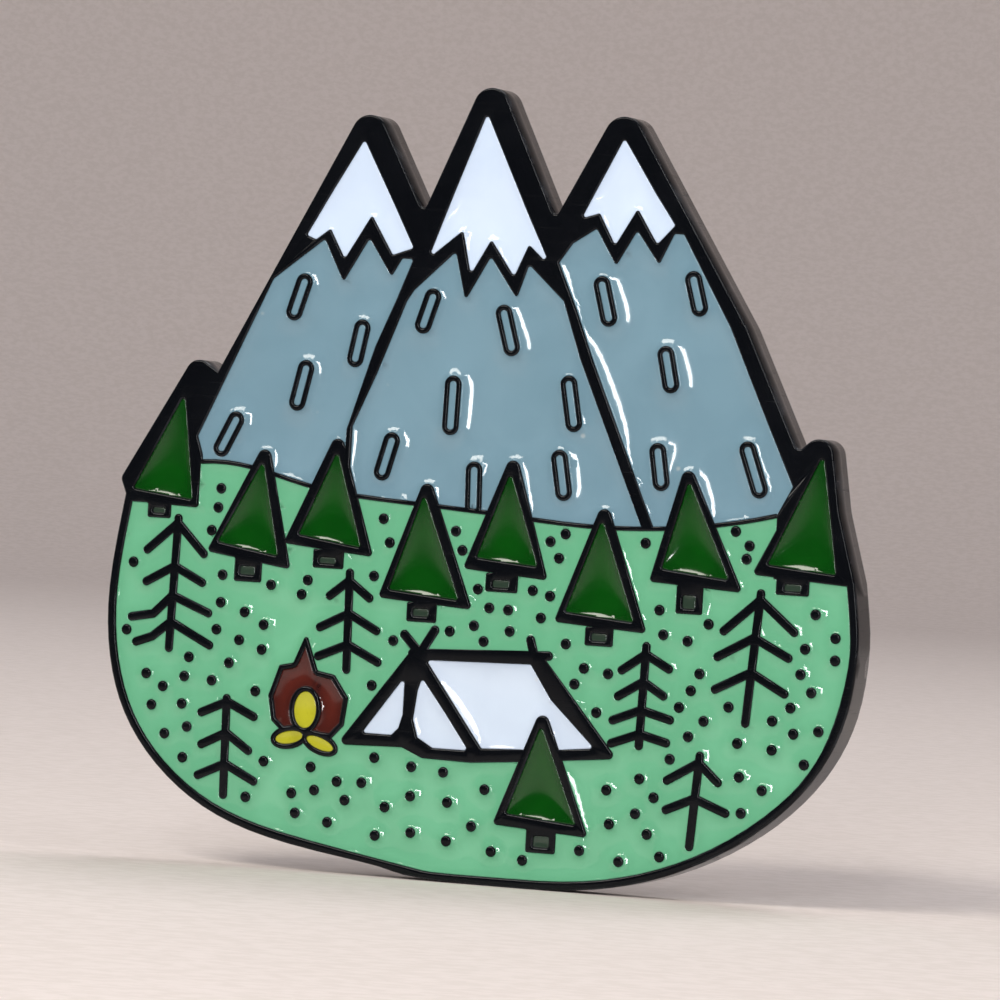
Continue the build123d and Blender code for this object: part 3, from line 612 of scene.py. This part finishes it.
# An ear is a sheet bent at the spring, flared, ribbed and curled at its tip.
earShape = {
    "path": [(0.3, 4.625), (2.0, 5.35), (2.9, 6.9), (4.25, 8.14), (5.0, 8.45)],
    "bends": [0, 0.4, 0.7, 0.6, 0],
    "jawWidth": 4.0, "earWidth": 6.4, "flareFrom": 2.3, "flareTo": 3.6, "cornerRadius": 1.35,
    "sheet": 0.35, "postClear": 0.64, "hollowTo": 1.6,      # the jaws are hollowed up to this X
    "ribs": (-1.25, 1.25), "ribHeight": 0.13, "ribHalf": 0.42, "ribFrom": 2.45, "ribTo": 4.55, "ribFade": 0.5,
    "rows": 44, "longest": 0.13, "edgeBreak": 0.06,
}


def buildEar(name, node, body, side):
    s = earShape
    bm = bmesh.new()
    verts = [bmesh.ops.create_vert(bm, co=(x, y, -0.5))["vert"][0] for x, y in s["path"]]
    for a, b in zip(verts, verts[1:]):
        bm.edges.new((a, b))
    for v, cut in zip(verts, s["bends"]):
        if cut:
            bmesh.ops.bevel(bm, geom=[v], offset=cut, affect="VERTICES", segments=7, profile=0.5,
                            material=-1)
    for e in [e for e in bm.edges if e.calc_length() > 0.16]:
        bmesh.ops.subdivide_edges(bm, edges=[e], cuts=int(e.calc_length() / s["longest"]))
    edges = bm.edges[:]
    for _ in range(s["rows"]):
        made = bmesh.ops.extrude_edge_only(bm, edges=edges)["geom"]
        raised = [g for g in made if isinstance(g, bmesh.types.BMVert)]
        bmesh.ops.translate(bm, verts=raised, vec=(0, 0, 1 / s["rows"]))
        edges = [g for g in made if isinstance(g, bmesh.types.BMEdge)]
    bmesh.ops.recalc_face_normals(bm, faces=bm.faces)
    if sum(f.normal.y * f.calc_area() for f in bm.faces) < 0:
        bmesh.ops.reverse_faces(bm, faces=bm.faces)
    bm.normal_update()
    (startX, startY), (bendX, bendY) = s["path"][:2]
    tipX = s["path"][-1][0]
    lead, corner = s["hollowTo"], s["cornerRadius"]
    rise = (bendY - startY) / (bendX - startX)
    for v in bm.verts:
        share = v.co.z * 2      # -1 to 1 across the sheet
        flare = min(1, max(0, (v.co.x - s["flareFrom"]) / (s["flareTo"] - s["flareFrom"])))
        flare = flare * flare * (3 - 2 * flare)
        half = (s["jawWidth"] + (s["earWidth"] - s["jawWidth"]) * flare) / 2
        past = v.co.x - (tipX - corner)
        if past > 0:
            half -= corner - math.sqrt(max(0, corner ** 2 - min(past, corner * 0.985) ** 2))
        z = share * half
        if v.co.x < lead:
            hollow = math.sqrt(max(0, s["postClear"] ** 2 - z * z))
            start = max(startX, hollow)
            old = v.co.x
            v.co.x = start + (old - startX) * (lead - start) / (lead - startX)
            v.co.y += (v.co.x - old) * rise
        v.co.z = z
        along = min(1, max(0, (v.co.x - s["ribFrom"]) / s["ribFade"]))
        along *= min(1, max(0, (s["ribTo"] - v.co.x) / s["ribFade"]))
        for middle in s["ribs"]:
            near = max(0, 1 - abs(z - middle) / s["ribHalf"])
            v.co += v.normal * (s["ribHeight"] * along * near * near * (3 - 2 * near))
    bm.normal_update()
    for v in bm.verts:
        v.co += v.normal * (-s["sheet"] / 2)
    bmesh.ops.solidify(bm, geom=bm.faces[:], thickness=-s["sheet"])
    bmesh.ops.recalc_face_normals(bm, faces=bm.faces)
    sharp = [e for e in bm.edges if len(e.link_faces) == 2 and e.calc_face_angle() > 1.0]
    bmesh.ops.bevel(bm, geom=sharp, offset=s["edgeBreak"], affect="EDGES", segments=3, profile=0.5,
                    material=-1)
    if side < 0:
        bmesh.ops.scale(bm, vec=(-1, 1, 1), verts=bm.verts)
        bmesh.ops.reverse_faces(bm, faces=bm.faces)
    makePiece(bm, name, body, [node], springBrass, 45)


buildPlate()
buildEnamel()
buildPost()
buildClutch()
buildEar("earRight", "wing_right", "ear_right", 1)
buildEar("earLeft", "wing_left", "ear_left", -1)
print("hardware done")


stageShape = {
    "floor": cadBox[0].z, "flat": 0.42, "radius": 0.62, "height": 0.75,
    "color": tint(232, 223, 219), "grainColor": tint(225, 216, 211), "grainScale": 1400.0,
    # the grey that glossy rays see on the floor in front of the face is painted reflection shade
    "flagColor": tint(62, 62, 64), "flagFrom": -0.12, "flagTo": 0.02,      # along Y
}


def buildStage():
    s = stageShape
    bm = bmesh.new()
    points = [(0, 0), (s["flat"], 0)]
    sweep = s["radius"] - s["flat"]
    for a in np.linspace(0.15, math.pi / 2, 10):
        points.append((s["flat"] + sweep * math.sin(a), sweep * (1 - math.cos(a))))
    points.append((s["radius"], s["height"]))
    verts = [bmesh.ops.create_vert(bm, co=(x, 0, s["floor"] + z))["vert"][0] for x, z in points]
    for a, b in zip(verts, verts[1:]):
        bm.edges.new((a, b))
    bmesh.ops.spin(bm, geom=bm.verts[:] + bm.edges[:], cent=(0, 0, 0), axis=(0, 0, 1), angle=math.tau,
                   steps=96, use_merge=True)
    bmesh.ops.remove_doubles(bm, verts=bm.verts, dist=0.00001)
    bmesh.ops.recalc_face_normals(bm, faces=bm.faces)
    mesh = bpy.data.meshes.new("floorCove")
    bm.to_mesh(mesh)
    bm.free()
    mesh.shade_smooth()
    material = bpy.data.materials.new("paleFloor")
    material.use_nodes = True
    tree = material.node_tree
    shader = tree.nodes["Principled BSDF"]
    shader.inputs["Roughness"].default_value = 0.85
    shader.inputs["Specular IOR Level"].default_value = 0.2
    grain = addNoise(tree, addObjectPoint(tree), s["grainScale"], 3.0, 0.6)
    color = addMix(tree, addRange(tree, grain, 0.35, 0.65), s["color"], s["grainColor"])
    tree.links.new(color, shader.inputs["Base Color"])
    # painted reflection shade: glossy surfaces see the half of the floor in front of the face as darker, as a
    # studio's black flags would make it
    reflectionShade = tree.nodes.new("ShaderNodeBsdfDiffuse")
    reflectionShade.inputs["Color"].default_value = s["flagColor"]
    path = tree.nodes.new("ShaderNodeLightPath")
    blend = tree.nodes.new("ShaderNodeMixShader")
    axes = tree.nodes.new("ShaderNodeSeparateXYZ")
    tree.links.new(addObjectPoint(tree), axes.inputs[0])
    inFront = addRange(tree, axes.outputs["Y"], s["flagFrom"], s["flagTo"], 1.0, 0.0)
    tree.links.new(addMath(tree, "MULTIPLY", path.outputs["Is Glossy Ray"], inFront), blend.inputs[0])
    tree.links.new(shader.outputs[0], blend.inputs[1])
    tree.links.new(reflectionShade.outputs[0], blend.inputs[2])
    tree.links.new(blend.outputs[0], tree.nodes["Material Output"].inputs["Surface"])
    mesh.materials.append(material)
    cove = bpy.data.objects.new("floorCove", mesh)
    bpy.context.scene.collection.objects.link(cove)


# Azimuth turns to the right of the face and elevation is above the horizon, both in degrees.
lightShape = {
    "keyLight": {"azimuth": -24, "elevation": 42, "distance": 0.36, "size": (0.22, 0.1), "power": 0.72,
                 "color": (1.0, 0.95, 0.86)},
    "glintLight": {"azimuth": 12, "elevation": 12, "distance": 0.3, "size": (0.034, 0.16), "power": 0.42,
                   "color": (1, 1, 1)},
    "sideLight": {"azimuth": 60, "elevation": 40, "distance": 0.34, "size": (0.02, 0.1), "power": 0.05,
                  "color": (0.95, 0.97, 1.0)},
    "backLight": {"azimuth": 165, "elevation": 62, "distance": 0.38, "size": (0.2, 0.2), "power": 0.4,
                  "color": (1, 1, 1)},
}
roomShape = {"color": (0.86, 0.9, 1.0, 1), "strength": 0.42}


def lightStage():
    for name, s in lightShape.items():
        lamp = bpy.data.lights.new(name, "AREA")
        lamp.shape = "RECTANGLE"
        lamp.size, lamp.size_y = s["size"]
        lamp.energy, lamp.color = s["power"], s["color"]
        a, e = math.radians(s["azimuth"]), math.radians(s["elevation"])
        away = Vector((math.sin(a) * math.cos(e), -math.cos(a) * math.cos(e), math.sin(e)))
        holder = bpy.data.objects.new(name, lamp)
        holder.rotation_mode = "QUATERNION"
        holder.location = away * s["distance"]
        holder.rotation_quaternion = away.to_track_quat("Z", "Y")
        bpy.context.scene.collection.objects.link(holder)
    world = bpy.data.worlds.new("softRoom")
    bpy.context.scene.world = world
    world.use_nodes = True
    room = world.node_tree.nodes["Background"]
    room.inputs["Color"].default_value = roomShape["color"]
    room.inputs["Strength"].default_value = roomShape["strength"]
    bpy.context.scene.view_settings.view_transform = "Standard"


cameraShape = {"turn": 19.2, "roll": 3.43, "distance": 0.22, "lens": 250.4, "sensor": 36.0, "shift": -0.04}


def placeCamera():
    s = cameraShape
    turn, roll = math.radians(s["turn"]), math.radians(s["roll"])
    back = Vector((math.sin(turn), -math.cos(turn), 0))
    right = Vector((math.cos(turn), math.sin(turn), 0))
    up = Vector((0, 0, 1))
    x = right * math.cos(roll) + up * math.sin(roll)
    y = up * math.cos(roll) - right * math.sin(roll)
    data = bpy.data.cameras.new("camera")
    data.lens, data.sensor_width = s["lens"], s["sensor"]
    data.shift_y = s["shift"]
    data.clip_start, data.clip_end = 0.005, 5.0
    camera = bpy.data.objects.new("camera", data)
    turned = Matrix((x, y, back)).transposed().to_4x4()
    camera.matrix_world = Matrix.Translation(back * s["distance"]) @ turned
    bpy.context.scene.collection.objects.link(camera)
    bpy.context.scene.camera = camera


buildStage()
lightStage()
placeCamera()
print("cad box", [[round(n * 1000, 2) for n in c] for c in cadBox])
